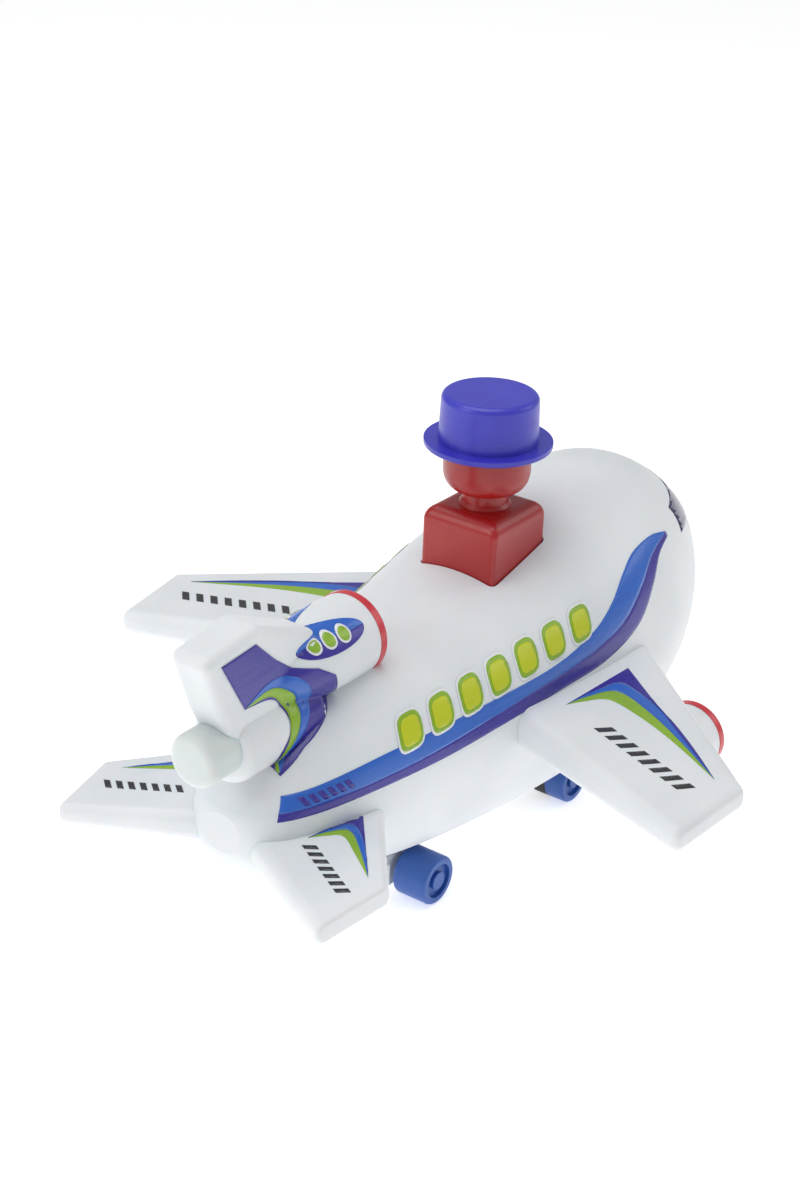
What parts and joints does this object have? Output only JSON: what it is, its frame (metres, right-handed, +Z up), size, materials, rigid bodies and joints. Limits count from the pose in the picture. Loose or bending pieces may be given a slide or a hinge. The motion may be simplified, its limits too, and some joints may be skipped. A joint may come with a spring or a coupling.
{
  "type": "toy airplane",
  "caption": "Push-and-go toy jet with a press-down pilot that drives the wheels through a rack and gears.",
  "frame": {"origin": "on the floor, under the middle of the bounding box", "axes": "+X towards the nose, +Y to port, +Z up"},
  "size_m": [0.2247, 0.1972, 0.1286],
  "materials": {
    "white_shell": "satin moulded white plastic",
    "milky_nozzle": "slightly translucent moulded white plastic",
    "red_trim": "glossy red trim",
    "pilot_red": "glossy red plastic",
    "hat_blue": "satin violet-blue plastic",
    "wheel_blue": "satin blue plastic",
    "traction_rubber": "black rubber",
    "chassis_grey": "white moulded plastic of the chassis",
    "gear_natural": "natural acetal",
    "steel": "bright steel"
  },
  "bodies": {
    "airframe": {"upper_shell": "white_shell", "lower_shell": "white_shell", "wing_right": "white_shell", "wing_left": "white_shell", "stabiliser_right": "white_shell", "stabiliser_left": "white_shell", "tail_fin": "white_shell", "tail_nozzle": "milky_nozzle", "tail_pod_ring": "red_trim", "wing_pod_right": "white_shell", "wing_pod_left": "white_shell", "wing_pod_ring_right": "red_trim", "wing_pod_ring_left": "red_trim", "chassis_plate": "chassis_grey", "gearbox_frame_right": "chassis_grey", "gearbox_frame_left": "chassis_grey", "gear_arbor": "steel", "case_screws": "steel"},
    "pilot": {"pilot_rear_half": "pilot_red", "pilot_front_half": "pilot_red", "hat": "hat_blue", "plunger_rack": "pilot_red", "return_spring": "steel"},
    "drive_gear": {"drive_gear": "gear_natural"},
    "front_wheels": {"front_axle": "steel", "front_wheel_right": "wheel_blue", "front_wheel_left": "wheel_blue", "traction_ring_right": "traction_rubber", "traction_ring_left": "traction_rubber", "axle_gear": "gear_natural"},
    "rear_wheels": {"rear_axle": "steel", "rear_wheel_right": "wheel_blue", "rear_wheel_left": "wheel_blue"}
  },
  "joints": [
    {"name": "pilot_press", "type": "slide", "parent": "airframe", "child": "pilot", "axis": [0, 0, 1], "range_m": [-0.01, 0], "stiffness_N_per_m": 250, "springref_m": 0.002, "deforming": ["return_spring"]},
    {"name": "drive_gear_spin", "type": "hinge", "parent": "airframe", "child": "drive_gear", "pos_m": [0.0328, 0, 0.02542], "axis": [0, 1, 0], "range_deg": [-112, 0]},
    {"name": "front_wheels_roll", "type": "hinge", "parent": "airframe", "child": "front_wheels", "pos_m": [0.0328, 0, 0.0071], "axis": [0, 1, 0], "continuous": true},
    {"name": "rear_wheels_roll", "type": "hinge", "parent": "airframe", "child": "rear_wheels", "pos_m": [-0.0368, 0, 0.0071], "axis": [0, 1, 0], "continuous": true}
  ],
  "couplings": [
    {"joint": "drive_gear_spin", "follows": "pilot_press", "rad_per_m": 178.57}
  ]
}
